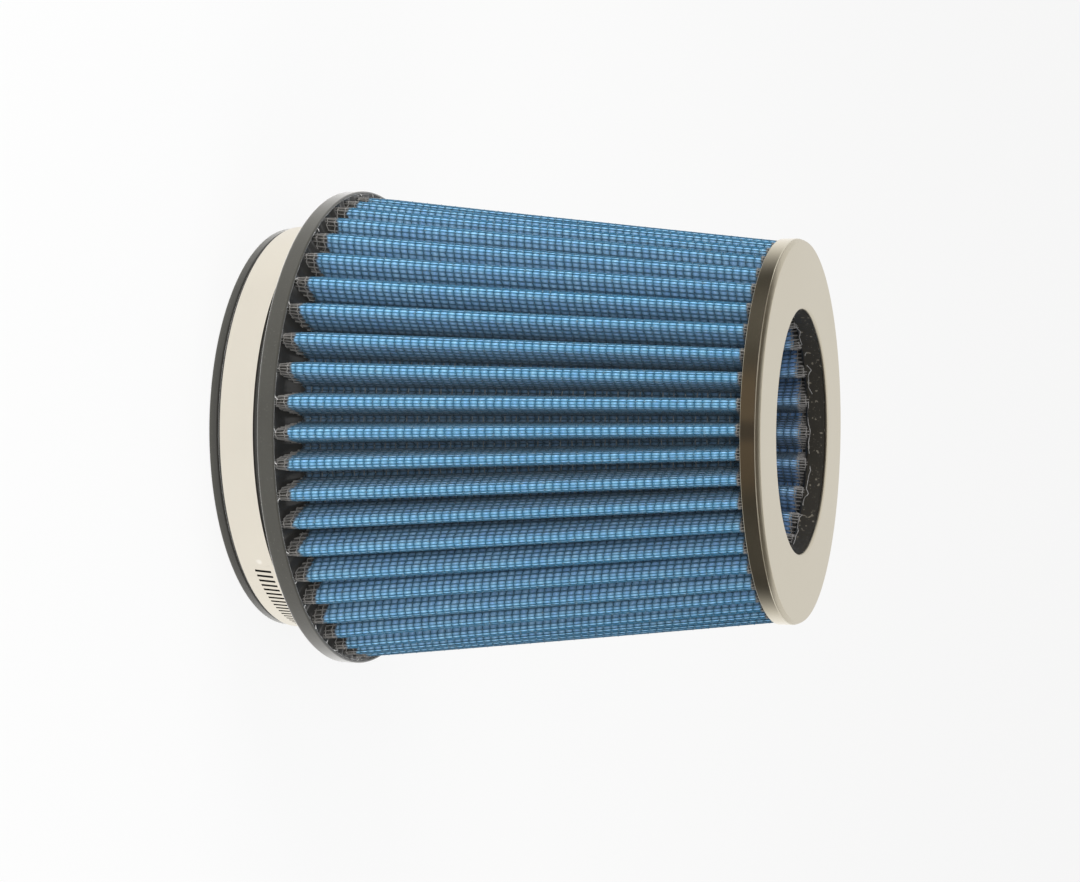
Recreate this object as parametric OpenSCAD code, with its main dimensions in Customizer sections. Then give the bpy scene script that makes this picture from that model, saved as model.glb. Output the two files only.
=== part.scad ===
// Cone air filter with an inverted cone in its top
// Axis along Z, neck mouth on z = 0, small end up
// A direction round the axis is given in degrees from -Y towards +X

/* [Base moulding] */
// Bore of the neck, which slides over the intake tube
bore_d = 139.7; // [120:0.1:160]
// Wall of the neck under the clamp
neck_wall = 5.55; // [4.5:0.05:8]
// How far the flange stands out from the neck
flange_reach = 13.5; // [11:0.1:25]
// Thickness of the flange at its rim
flange_t = 6.5; // [4:0.1:12]
// Length of the neck from its mouth to the flange
neck_len = 24.5; // [22:0.1:40]
// Rounding of the flange's edges
flange_round = 1.2; // [0.4:0.1:2]
// Width of the groove round the neck, beside the clamp
neck_groove_w = 0.8; // [0.4:0.1:1.2]
// Depth of that groove
neck_groove_d = 0.6; // [0.3:0.1:1.2]
// Width of the flange's rim outside the pleats
rim_w = 1.1; // [0.8:0.1:2]
// Depth of the seat that the pleats stand in
seat_depth = 1.5; // [1:0.1:3]
// Clearance between the pleats and the sides of their seat
seat_gap = 0.4; // [0.2:0.05:0.8]

/* [Outer cone] */
// Height of the filter from the neck mouth to the top face
total_h = 197.8; // [170:0.1:240]
// Number of pleats in the outer cone
outer_pleats = 48; // [36:1:52]
// Depth of the outer pleats through all their layers
outer_depth = 12.5; // [9:0.5:15]
// How far the pleat ridges stay inside the top ring's side
ridge_inset = 0.6; // [0.2:0.1:1.5]

/* [Pleats] */
// Share of the pitch that a rounded ridge takes
ridge_share = 0.65; // [0.58:0.01:0.72]
// Radius in the bottom of a pleat's valley
valley_r = 0.9; // [0.6:0.1:1.1]
// Thickness of a woven screen
screen_t = 0.4; // [0.2:0.05:0.45]
// Thickness of the cotton gauze between its screens
gauze_t = 1.2; // [0.8:0.1:1.4]

/* [Top] */
// Outer diameter of the top ring's side
ring_d = 138; // [130:0.1:144]
// Height of the top ring
ring_h = 7; // [5:0.1:10]
// Sheet thickness of the top ring
ring_t = 1.2; // [0.8:0.1:1.6]
// Height of the small step round the ring's face
bead_h = 1.4; // [1:0.1:2]
// How far the step goes in from the ring's side
bead_in = 0.5; // [0.3:0.1:0.8]
// How far the ring's inner edge reaches past the moulding
ring_lip = 0.4; // [0.2:0.1:0.8]
// How far the moulding reaches past the ridges of the inverted cone
moulding_lip = 0.2; // [0.1:0.1:0.6]

/* [Inverted cone] */
// Number of pleats in the inverted cone
inner_pleats = 24; // [20:1:26]
// Depth of its pleats through all their layers
inner_depth = 10; // [8:0.5:12]
// Gap between the two cones where they meet the top moulding
cone_gap = 1.5; // [0.5:0.1:3]
// Length of its pleats from the top moulding to the plug
cone_len = 101.6; // [70:0.1:110]
// Ridge diameter of the pleats at the plug
cone_end_d = 60; // [58:0.5:70]
// Thickness of the plug below the pleats
plug_t = 8; // [5:0.5:14]
// Wall of the plug outside the pleats
plug_wall = 1.2; // [0.8:0.1:3]

/* [Clamp] */
// Width of the clamp band
band_w = 12.7; // [10:0.1:14]
// Thickness of the band
band_t = 0.65; // [0.5:0.05:0.9]
// Height of the band's lower edge above the neck mouth
band_z = 4.7; // [3:0.1:8]
// Distance along the band from one slot to the next
slot_pitch = 2.65; // [2.4:0.05:3.5]
// Length of a slot
slot_len = 7; // [5:0.1:8]
// Width of a slot
slot_w = 0.8; // [0.5:0.1:1]
// Slant of a slot against the band's width
slot_slant = 6.6; // [4:0.1:9]
// How far the slots lie above the middle of the band
slot_up = 1; // [0:0.1:1.2]
// Direction of the first slot
slot_start = 43.3; // [40:0.1:60]
// Direction of the screw housing
housing_at = 140; // [130:1:150]
// How far the band's free tail reaches past the housing
tail_len = 32; // [20:1:45]
// Length of the housing along the screw
housing_len = 14; // [12:0.5:18]
// Radius of the screw's worm
worm_r = 4; // [3.5:0.1:4.5]
// Wall of the housing round the worm
housing_wall = 0.9; // [0.7:0.1:1.2]
// Wall at each end of the housing
end_wall = 1.2; // [0.8:0.1:2]
// Radius of the screw's neck, which turns in the end walls
screw_neck_r = 2.4; // [2:0.1:3]
// Clearance between the turning screw and its housing
turn_gap = 0.25; // [0.15:0.05:0.4]
// Hexagon of the screw's head, across its flats
head_af = 7.9; // [6:0.1:8]
// Length of the screw's head
head_len = 5; // [3:0.1:6]
// Width of the screwdriver slot in the head
driver_w = 1.2; // [0.8:0.1:1.6]
// Depth of the screwdriver slot
driver_depth = 2; // [1:0.1:3]

/* [Hidden] */
$fn = 96;

// Heights
flange_top = neck_len + flange_t;
seat_z = flange_top - seat_depth;
pack_top = total_h - ring_h;
plug_z = pack_top - cone_len;

// Radii of the base, of the ridges at the two ends of the outer pleats, and of their seat
bore_r = bore_d / 2;
band_r = bore_r + neck_wall;
flange_r = band_r + flange_reach;
outer_base_r = flange_r - rim_w - seat_gap;
outer_top_r = ring_d / 2 - ridge_inset;
seat_in_r = outer_base_r - outer_depth - seat_gap;

// Radii of the ridges at the two ends of the inverted cone, and of its holes
cone_top_r = outer_top_r - outer_depth - cone_gap - inner_depth;
cone_end_r = cone_end_d / 2;
moulding_hole_r = cone_top_r - moulding_lip;
hole_r = moulding_hole_r - ring_lip;
plug_r = cone_end_r + inner_depth + seat_gap + plug_wall;

// Offsets of the three layers of a pleat, counted from the side its ridges face
layer = [0, screen_t, screen_t + gauze_t, 2 * screen_t + gauze_t];
pack_t = layer[3];

// Clamp
tail_r = band_r + band_t;
band_mid = band_z + band_w / 2;
slot_step = slot_pitch / tail_r * 180 / PI;
tail_arc = tail_len / tail_r * 180 / PI;
housing_arc = housing_len / tail_r * 180 / PI;
overlap_at = housing_at - housing_arc / 2;
slot_count = floor((housing_at + tail_arc - 2 * slot_step - slot_start) / slot_step);
barrel_r = worm_r + turn_gap;
screw_r = tail_r + band_t + 2 * turn_gap + worm_r;
worm_len = housing_len - 2 * end_wall - 2 * turn_gap;

// Points on an arc, from angle a to angle b in n steps
function arc(centre, r, a, b, n) =
    [for (i = [0 : n]) centre + r * [cos(a + (b - a) * i / n), sin(a + (b - a) * i / n)]];

// Turns to a direction round the axis
module at_direction(angle) {
    rotate([0, 0, angle - 90]) children();
}

// Half of a pleat as [radius, angle] pairs, from the middle of its ridge to the
// middle of its valley. Two arcs are joined by their cross tangent. A side of 1
// turns the ridges outward and -1 inward. An offset of t leaves both arcs on
// their centres, so layers with rising offsets nest face to face.
function half_pleat(ridge_at, depth, count, side, t) =
    let (
        half = 180 / count,
        ridge_r = ridge_share * PI * ridge_at / count,
        c1 = [0, side * ridge_at - ridge_r],
        valley_at = ridge_at - side * (depth - pack_t - valley_r),
        c2 = [valley_at * sin(half), side * valley_at * cos(half)],
        gap = c2 - c1,
        lean = atan2(gap[0], gap[1]) - acos((ridge_r + valley_r) / norm(gap)),
        points = [
            for (a = [0, lean / 2, lean]) c1 + (ridge_r - t) * [sin(a), cos(a)],
            for (a = [lean, side * half]) c2 - (valley_r + t) * [sin(a), cos(a)]
        ]
    )
    [for (p = points) [norm(p), atan2(p[0], side * p[1])]];

// A whole pleat: the half and its mirror image, without the shared valley point
function pleat(half_points, count) =
    let (last = len(half_points) - 1)
    concat(
        half_points,
        [for (i = [last - 1 : -1 : 1]) [half_points[i][0], 360 / count - half_points[i][1]]]
    );

// The closed outline of a pleated layer at height z
function pleat_loop(ridge_at, depth, count, side, t, z) =
    let (one = pleat(half_pleat(ridge_at, depth, count, side, t), count))
    [
        for (k = [0 : count - 1])
        for (p = one)
        let (a = p[1] + k * 360 / count)
        [p[0] * sin(a), -p[0] * cos(a), z]
    ];

// A pleated layer between two heights, as a closed shell
module pleated_layer(low_r, low_z, high_r, high_z, depth, count, side, t0, t1) {
    outer_t = side > 0 ? t0 : t1;
    inner_t = side > 0 ? t1 : t0;
    loops = [
        pleat_loop(low_r, depth, count, side, outer_t, low_z),
        pleat_loop(high_r, depth, count, side, outer_t, high_z),
        pleat_loop(low_r, depth, count, side, inner_t, low_z),
        pleat_loop(high_r, depth, count, side, inner_t, high_z)
    ];
    m = len(loops[0]);
    faces = [
        for (i = [0 : m - 1])
        let (j = (i + 1) % m)
        each [
            [i, m + i, m + j],
            [i, m + j, j],
            [2 * m + i, 3 * m + j, 3 * m + i],
            [2 * m + i, 2 * m + j, 3 * m + j],
            [m + i, 3 * m + i, 3 * m + j],
            [m + i, 3 * m + j, m + j],
            [i, j, 2 * m + j],
            [i, 2 * m + j, 2 * m + i]
        ]
    ];
    polyhedron(points = concat(loops[0], loops[1], loops[2], loops[3]), faces = faces, convexity = 10);
}

// One layer of the outer cone, counted from the outside
module outer_layer(i) {
    pleated_layer(outer_base_r, seat_z, outer_top_r, pack_top,
        outer_depth, outer_pleats, 1, layer[i], layer[i + 1]);
}

// One layer of the inverted cone, counted from the hollow in the top
module cone_layer(i) {
    pleated_layer(cone_end_r, plug_z, cone_top_r, pack_top,
        inner_depth, inner_pleats, -1, layer[i], layer[i + 1]);
}

// Neck and flange in one urethane moulding, with a seat for the pleats
module base() {
    color([0.24, 0.24, 0.24])
    rotate_extrude($fn = 180)
    polygon(concat(
        [[bore_r, 0]],
        arc([band_r - neck_groove_w, neck_groove_w], neck_groove_w, -90, 0, 3),
        [
            [band_r, band_z - 2 * neck_groove_w],
            [band_r - neck_groove_d, band_z - 1.5 * neck_groove_w],
            [band_r, band_z - neck_groove_w],
            [band_r, neck_len]
        ],
        arc([flange_r - flange_round, neck_len + flange_round], flange_round, -90, 0, 3),
        arc([flange_r - rim_w / 2, flange_top - rim_w / 2], rim_w / 2, 0, 90, 2),
        [
            [flange_r - rim_w, flange_top],
            [flange_r - rim_w, seat_z],
            [seat_in_r, seat_z],
            [seat_in_r, flange_top],
            [bore_r, flange_top]
        ]
    ));
}

// Coated wire screen over the outside of the outer cone
module outer_screen() {
    color([0.30, 0.42, 0.52])
    outer_layer(0);
}

// Oiled cotton gauze of the outer cone
module outer_gauze() {
    color([0.25, 0.47, 0.70])
    outer_layer(1);
}

// Wire screen behind the gauze of the outer cone
module outer_backing() {
    color([0.55, 0.57, 0.58])
    outer_layer(2);
}

// Urethane ring that holds the upper ends of both cones
module top_moulding() {
    color([0.12, 0.12, 0.12])
    rotate_extrude($fn = 180)
    polygon([
        [moulding_hole_r, pack_top],
        [ring_d / 2 - ring_t, pack_top],
        [ring_d / 2 - ring_t, total_h - bead_h],
        [ring_d / 2 - ring_t - bead_in, total_h - ring_t],
        [moulding_hole_r, total_h - ring_t]
    ]);
}

// Polished metal ring over the top moulding
module top_ring() {
    color([0.80, 0.78, 0.72])
    rotate_extrude($fn = 180)
    polygon(concat(
        [
            [ring_d / 2 - ring_t, pack_top],
            [ring_d / 2, pack_top],
            [ring_d / 2, total_h - bead_h],
            [ring_d / 2 - bead_in, total_h - bead_h]
        ],
        arc([ring_d / 2 - 2 * bead_in, total_h - bead_in], bead_in, 0, 90, 3),
        [
            [hole_r, total_h],
            [hole_r, total_h - ring_t],
            [ring_d / 2 - ring_t - bead_in, total_h - ring_t],
            [ring_d / 2 - ring_t, total_h - bead_h]
        ]
    ));
}

// Wire screen on the hollow side of the inverted cone
module cone_screen() {
    color([0.30, 0.42, 0.52])
    cone_layer(0);
}

// Oiled cotton gauze of the inverted cone
module cone_gauze() {
    color([0.25, 0.47, 0.70])
    cone_layer(1);
}

// Wire screen behind the gauze of the inverted cone
module cone_backing() {
    color([0.55, 0.57, 0.58])
    cone_layer(2);
}

// Urethane plug that closes the narrow end of the inverted cone
module cone_plug() {
    color([0.12, 0.12, 0.12])
    rotate_extrude($fn = 120)
    polygon(concat(
        [[0, plug_z - plug_t]],
        arc([plug_r - flange_round, plug_z - plug_t + flange_round], flange_round, -90, 0, 3),
        [
            [plug_r, plug_z + seat_depth],
            [plug_r - plug_wall, plug_z + seat_depth],
            [plug_r - plug_wall, plug_z],
            [cone_end_r - seat_gap, plug_z],
            [cone_end_r - seat_gap, plug_z + seat_depth],
            [0, plug_z + seat_depth]
        ]
    ));
}

// Flat wedge between two directions
module wedge(from, to) {
    reach = 2 * tail_r;
    polygon([[0, 0], for (a = [from, (from + to) / 2, to]) reach * [sin(a), -cos(a)]]);
}

// Outline of the band: a split ring, and its tail lying over it
module band_outline() {
    difference() {
        circle(r = tail_r, $fn = 240);
        circle(r = band_r, $fn = 240);
        wedge(housing_at - slot_step, housing_at);
    }
    intersection() {
        difference() {
            circle(r = tail_r + band_t, $fn = 240);
            circle(r = tail_r - band_t / 2, $fn = 240);
        }
        wedge(overlap_at, housing_at + tail_arc);
    }
}

// Cutters for the slanted slots that lie between two directions round the band,
// through the layer on the neck at level 0 or the tail on top of it at level 1
module band_slots(from, to, level) {
    for (i = [0 : slot_count - 1]) {
        slot_at = slot_start + i * slot_step;
        if (slot_at >= from && slot_at < to) {
            at_direction(slot_at)
            translate([band_r + (level + 0.5) * band_t, 0, band_mid + slot_up])
            rotate([-slot_slant, 0, 0])
            cube([1.6 * band_t, slot_w, slot_len], center = true);
        }
    }
}

// Slotted steel band with its tail lying over its start
module clamp_band() {
    color([0.88, 0.87, 0.83])
    difference() {
        translate([0, 0, band_z]) linear_extrude(band_w) band_outline();
        band_slots(0, overlap_at, 0);
        band_slots(overlap_at + slot_step, 360, 1);
    }
}

// Lays its children along the screw's line, which is tangent to the band
module along_screw() {
    at_direction(housing_at)
    translate([screw_r, 0, band_mid])
    rotate([-90, 0, 0])
    children();
}

// Steel housing that holds the screw over the band
module clamp_housing() {
    color([0.72, 0.72, 0.70])
    difference() {
        union() {
            along_screw() cylinder(r = barrel_r + housing_wall, h = housing_len, center = true);
            at_direction(housing_at)
            translate([tail_r, -housing_len / 2, band_z])
            cube([screw_r - tail_r, housing_len, band_w]);
        }
        translate([0, 0, band_mid])
        cylinder(r = tail_r + band_t + turn_gap / 2, h = 2 * band_w, center = true, $fn = 240);
        along_screw() cylinder(r = barrel_r, h = housing_len - 2 * end_wall, center = true);
        along_screw() cylinder(r = screw_neck_r + turn_gap, h = 2 * housing_len, center = true);
        at_direction(housing_at)
        translate([band_r, end_wall - housing_len / 2, band_mid - barrel_r])
        cube([screw_r - band_r, housing_len - 2 * end_wall, 2 * barrel_r]);
    }
}

// Worm screw with a slotted hexagon head, trapped by the housing's end walls
module clamp_screw() {
    color([0.66, 0.66, 0.64])
    along_screw() {
        difference() {
            union() {
                cylinder(r = worm_r, h = worm_len, center = true);
                cylinder(r = screw_neck_r, h = housing_len + 2 * turn_gap, center = true);
                translate([0, 0, housing_len / 2 + turn_gap])
                cylinder(r = head_af / sqrt(3), h = head_len, $fn = 6);
            }
            translate([-head_af, -driver_w / 2, housing_len / 2 + turn_gap + head_len - driver_depth])
            cube([2 * head_af, driver_w, 2 * driver_depth]);
        }
    }
}

base();
outer_screen();
outer_gauze();
outer_backing();
top_moulding();
top_ring();
cone_screen();
cone_gauze();
cone_backing();
cone_plug();
clamp_band();
clamp_housing();
clamp_screw();
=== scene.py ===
# %% [markdown]
# This lesson dresses a cone air filter: a pleated cone of oiled gauze between
# wire screens, cast into a urethane flange at the wide end and held by a
# polished ring at the narrow end, with a hose clamp round its neck.
# The solids come from the CAD model. Everything below is built round them in
# the same frame, in metres, with the filter's axis on +Z.

# %% Load the CAD frame
import math
import bmesh
import bpy
import numpy as np
from mathutils import Matrix


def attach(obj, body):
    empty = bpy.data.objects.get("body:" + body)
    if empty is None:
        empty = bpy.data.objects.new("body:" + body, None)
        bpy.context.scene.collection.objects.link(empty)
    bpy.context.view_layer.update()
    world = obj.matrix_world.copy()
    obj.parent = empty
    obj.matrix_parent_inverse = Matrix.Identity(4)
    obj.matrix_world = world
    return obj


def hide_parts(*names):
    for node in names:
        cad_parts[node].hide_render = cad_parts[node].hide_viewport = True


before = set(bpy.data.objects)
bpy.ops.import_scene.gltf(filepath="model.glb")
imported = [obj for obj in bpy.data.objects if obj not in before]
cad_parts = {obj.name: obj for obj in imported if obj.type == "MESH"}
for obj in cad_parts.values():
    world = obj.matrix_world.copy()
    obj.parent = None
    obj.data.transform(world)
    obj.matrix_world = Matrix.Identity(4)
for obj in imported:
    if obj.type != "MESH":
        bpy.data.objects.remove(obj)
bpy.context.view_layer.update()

MM = 0.001

# %% [markdown]
# Almost every piece is a surface over two parameters. One helper turns a grid
# of points into faces, wrapping round in either direction, and another puts
# arrays into a Blender mesh. A closed piece whose signed volume comes out
# negative is turned round, so that faces always point outwards.

# %% Grids and meshes
def grid_faces(rows, columns, wrap_rows, wrap_columns):
    """Quads of a rows by columns grid: each joins (i, j), (i, j+1), (i+1, j+1), (i+1, j)."""
    i = np.arange(rows if wrap_rows else rows - 1)[:, None]
    j = np.arange(columns if wrap_columns else columns - 1)[None, :]
    i2, j2 = (i + 1) % rows, (j + 1) % columns
    corners = [i * columns + j, i * columns + j2, i2 * columns + j2, i2 * columns + j]
    return np.stack([np.broadcast_to(c, (i.size, j.size)) for c in corners], -1).reshape(-1, 4)


def copies(faces, count, size):
    """The faces of count like shapes whose points follow each other, size a shape."""
    return (faces[None] + (np.arange(count) * size)[:, None, None]).reshape(-1, 4)


def signed_volume(points, faces):
    """Sum of the tetrahedra from the origin to each half of each quad."""
    a, b, c, d = (points[faces[:, k]] for k in range(4))
    return np.einsum("ij,ij->", a, np.cross(b, c) + np.cross(c, d)) / 6


def add_object(name, data):
    """A new object in the scene, at the origin."""
    made = bpy.data.objects.new(name, data)
    bpy.context.scene.collection.objects.link(made)
    return made


WELD = 1e-7


def new_piece(name, points, faces, body, attributes=None, uv=None, sharp=50, poles=False):
    """Puts points in mm and quads into a mesh that rides on a CAD body. Edges over sharp
    degrees stay sharp, and poles merges points closer than WELD metres."""
    if signed_volume(points, faces) < 0:
        faces = faces[:, ::-1]
        uv = None if uv is None else uv[:, ::-1]
    mesh = bpy.data.meshes.new(name)
    mesh.vertices.add(len(points))
    mesh.vertices.foreach_set("co", (points * MM).astype(np.float32).ravel())
    mesh.loops.add(faces.size)
    mesh.loops.foreach_set("vertex_index", faces.astype(np.int32).ravel())
    mesh.polygons.add(len(faces))
    mesh.polygons.foreach_set("loop_start", np.arange(0, faces.size, 4, dtype=np.int32))
    for key, values in (attributes or {}).items():
        layer = mesh.attributes.new(key, "FLOAT", "POINT")
        layer.data.foreach_set("value", np.asarray(values, np.float32).ravel())
    mesh.update(calc_edges=True)
    if uv is not None:
        mesh.uv_layers.new(name="UVMap").data.foreach_set("uv", uv.astype(np.float32).ravel())
    if poles:
        work = bmesh.new()
        work.from_mesh(mesh)
        bmesh.ops.remove_doubles(work, verts=work.verts, dist=WELD)
        work.to_mesh(mesh)
        work.free()
    mesh.validate()
    mesh.shade_smooth()
    mesh.set_sharp_from_angle(angle=math.radians(sharp))
    piece = add_object(name, mesh)
    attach(piece, body)
    mesh.calc_loop_triangles()
    print(f"{name}: {len(mesh.loop_triangles)} triangles")
    return piece


def finish_piece(piece, material, slot, *nodes):
    """Gives a piece its material, and hides the CAD nodes it stands for. slot is not used."""
    piece.data.materials.clear()
    piece.data.materials.append(material)
    if nodes:
        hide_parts(*nodes)
    print(f"{piece.name}: {material.name}, for {', '.join(nodes) or 'no node'}")


# %% [markdown]
# A shader is easier to read as arithmetic. This small class wraps a socket, so
# that 1 - mask or height * 0.3 adds its Math nodes, and every other node comes
# from one method that takes the kind, the settings and the sockets.

# %% Shader arithmetic
class Signal:
    """A node's output in a finish. Arithmetic on it adds Math nodes."""

    def __init__(self, finish, socket):
        self.finish, self.socket = finish, socket

    def math(self, operation, first, second=0.0):
        return self.finish.node("Math", {"operation": operation}, {0: first, 1: second})

    def __add__(self, other):
        return self.math("ADD", self, other)

    def __sub__(self, other):
        return self.math("SUBTRACT", self, other)

    def __rsub__(self, other):
        return self.math("SUBTRACT", other, self)

    def __mul__(self, other):
        return self.math("MULTIPLY", self, other)

    def __pow__(self, other):
        return self.math("POWER", self, other)

    __radd__, __rmul__ = __add__, __mul__

    def sine(self):
        return self.math("SINE", self)

    def size(self):
        return self.math("ABSOLUTE", self)

    def ease(self, low, high, bottom=0.0, top=1.0):
        """Smooth step from low to high."""
        return self.finish.node("MapRange", {"interpolation_type": "SMOOTHSTEP"}, {
            "Value": self, "From Min": low, "From Max": high, "To Min": bottom, "To Max": top})


class Finish:
    """A material built from one principled shader. set() feeds its sockets and returns it."""

    def __init__(self, name, **settings):
        self.material = bpy.data.materials.new(name)
        self.material.use_nodes = True
        self.tree = self.material.node_tree
        self.tree.nodes.clear()
        self.shader = self.tree.nodes.new("ShaderNodeBsdfPrincipled")
        out = self.tree.nodes.new("ShaderNodeOutputMaterial")
        self.tree.links.new(self.shader.outputs[0], out.inputs[0])
        self.set({key.replace("_", " "): value for key, value in settings.items()})

    def node(self, kind, settings=None, sockets=None, out=0):
        made = self.tree.nodes.new("ShaderNode" + kind)
        for key, value in (settings or {}).items():
            setattr(made, key, value)
        for key, value in (sockets or {}).items():
            self.feed(made.inputs[key], value)
        return Signal(self, made.outputs[out])

    def feed(self, socket, value):
        if isinstance(value, Signal):
            self.tree.links.new(value.socket, socket)
        else:
            socket.default_value = value

    def set(self, sockets):
        for key, value in sockets.items():
            if key not in self.shader.inputs:
                raise KeyError(key)
            self.feed(self.shader.inputs[key], value)
        return self.material

    def place(self):
        """Object coordinates, in metres."""
        return self.node("TexCoord", out=3)

    def weave(self):
        """The piece's own UV map, counted in wires."""
        return self.node("UVMap", {"uv_map": "UVMap"})

    def attribute(self, name):
        return self.node("Attribute", {"attribute_name": name}, out=2)

    def axes(self, vector):
        """A vector's three parts as signals."""
        made = self.tree.nodes.new("ShaderNodeSeparateXYZ")
        self.feed(made.inputs[0], vector)
        return [Signal(self, made.outputs[k]) for k in range(3)]

    def noise(self, scale, detail=2.0, rough=0.5, at=None):
        """Noise over the object's coordinates, or over another vector."""
        return self.node("TexNoise", {}, {
            "Vector": at or self.place(), "Scale": scale, "Detail": detail, "Roughness": rough})

    def mix(self, share, first, second):
        """Colour that goes from first to second as share goes from 0 to 1."""
        first, second = (c if isinstance(c, Signal) else (*c, 1.0) for c in (first, second))
        return self.node("Mix", {"data_type": "RGBA"}, {0: share, 6: first, 7: second}, out=2)

    def bump(self, height, strength, distance):
        return self.node("Bump", {}, {
            "Height": height, "Strength": strength, "Distance": distance})


# %% [markdown]
# The filter lies with its axis level in the picture, so the camera is rolled a
# quarter turn and the filter's foot is at the left. Its place, direction and
# lens were found by fitting a pinhole camera to the circles of the neck, the
# flange, the ring and the hole.

# %% Camera
def stand(name, data, right, up, back, place):
    """A camera or lamp at place, with its three axes. It faces away from back."""
    item = add_object(name, data)
    turned = np.eye(4)
    turned[:3] = np.stack([right, up, back, place], -1)
    item.matrix_world = Matrix(turned.tolist())
    return item


fitted = bpy.data.cameras.new("camera")
fitted.lens, fitted.sensor_width = 82.607, 36.0
camera = stand("camera", fitted,
               right=(-0.01052118, 0.31034365, 0.95056621),
               up=(-0.99993312, 0.00130048, -0.01149218),
               back=(-0.00480272, -0.95062355, 0.31030921),
               place=(0.0, -0.871638, 0.383219))
bpy.context.scene.camera = camera
print("camera at", np.round(camera.location, 4), "lens", round(fitted.lens, 3))

# %% [markdown]
# The pleats are the heart of the filter. Seen from the end, half a pleat is a
# ridge arc, a straight wall and a valley arc, and the other half mirrors it.
# The same section is drawn at the wide and the narrow end and joined by
# straight lines, as the sheet is when it is folded and rolled into a cone.
# Real folds are never quite even, and the whole pack is twisted by about two
# degrees from end to end, so each fold's two ends have their own lean.

# %% Pleat section
# Thickness of the pack and radius of its valleys, in mm, and the ridge's radius
# as a share of half the room that a pleat has.
PACK = 2.0
VALLEY_R = 0.9
RIDGE_SHARE = 0.47
# Where the ridge's arc ends and the valley's begins, on the way from 0 to 1.
RIDGE_ENDS, VALLEY_STARTS = 0.34, 0.90
# The ridges' radius and height at both ends of each cone. A side of 1 turns them outwards.
OUTER = {"count": 48, "side": 1, "depth": 12.5, "low": (87.4, 29.5), "high": (68.4, 190.8)}
INNER = {"count": 24, "side": -1, "depth": 10.0, "low": (30.0, 89.2), "high": (44.4, 190.8)}


def fold_lean(count, usual, spread, seed, first=0, measured=()):
    """Degrees by which each fold's end stands off its even place: as measured from
    fold number first on, and elsewhere the usual lean with a little chance."""
    lean = usual + np.random.default_rng(seed).normal(0.0, spread, count)
    lean[np.arange(first, first + len(measured))] = measured
    return np.append(lean, lean[0])


LEAN_LOW = (0.8, 0.3, -0.3, -0.6, -0.4, 0.1, 0.6, 1.0, 1.4, 1.3, 1.7,
            1.75, 1.35, 1.4, 1.0, 0.95, 1.15, 1.3, 1.95, 2.3, 2.3, 1.8)
LEAN_HIGH = (-1.2, -1.7, -2.2, -2.6, -2.4, -1.8, -1.0, -1.0, -0.25, -0.55, -0.15,
             -0.3, -0.8, -0.9, -1.2, -1.25, -1.15, -0.45, -0.5, -0.6, -0.9, -0.9)
FIRST_MEASURED = -11
OUTER["lean"] = (fold_lean(OUTER["count"], 1.1, 0.3, 3, FIRST_MEASURED, LEAN_LOW),
                 fold_lean(OUTER["count"], -0.9, 0.3, 4, FIRST_MEASURED, LEAN_HIGH))
INNER["lean"] = (fold_lean(INNER["count"], 0.0, 0.5, 5), fold_lean(INNER["count"], 0.0, 0.5, 6))
OUTER["pinch"], INNER["pinch"] = 0.5, 0.0


def pleat_section(cone, ridge_at, s, t):
    """Half a pleat from ridge middle (s = 0) to valley middle (s = 1), t mm under its face.
    Ridge arc: c1 + (ridge_r - t)(sin a, cos a). Valley arc: c2 - (VALLEY_R + t)(sin a, cos a).
    The wall is the straight line between them. Returns radius and angle."""
    side, half = cone["side"], math.pi / cone["count"]
    ridge_r = RIDGE_SHARE * math.pi * ridge_at / cone["count"]
    c1 = np.array([0.0, side * ridge_at - ridge_r])
    valley_at = ridge_at - side * (cone["depth"] - PACK - VALLEY_R)
    c2 = valley_at * np.array([math.sin(half), side * math.cos(half)])
    gap = c2 - c1
    span = math.hypot(*gap)
    lean = math.atan2(gap[0], gap[1]) - math.acos((ridge_r + VALLEY_R) / span)
    wall = math.sqrt(span ** 2 - (ridge_r + VALLEY_R) ** 2)
    path = ridge_r * lean + wall + VALLEY_R * (lean - side * half)
    s1, s2 = RIDGE_ENDS, VALLEY_STARTS
    in_valley = lean + (side * half - lean) * np.clip((s - s2) / (1 - s2), 0, 1)
    a = np.where(s < s1, lean * s / s1, in_valley)
    direction = np.stack([np.sin(a), np.cos(a)], -1)
    ridge = c1 + (ridge_r - t)[..., None] * direction
    valley = c2 - (VALLEY_R + t)[..., None] * direction
    share = np.clip((s - s1) / (s2 - s1), 0, 1)[..., None]
    p = ridge * (1 - share) + valley * share
    return np.hypot(p[..., 0], p[..., 1]), np.arctan2(p[..., 0], side * p[..., 1]), 2 * path


# How far the sheet swings in and out between its ends, how far it stands inside the
# solid, and how high and deep the urethane draws a ridge in, all in mm but the height.
SWING, INSIDE = 0.16, 0.2
PINCH_HEIGHT, PINCH_DEPTH = 0.075, 0.8


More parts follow.
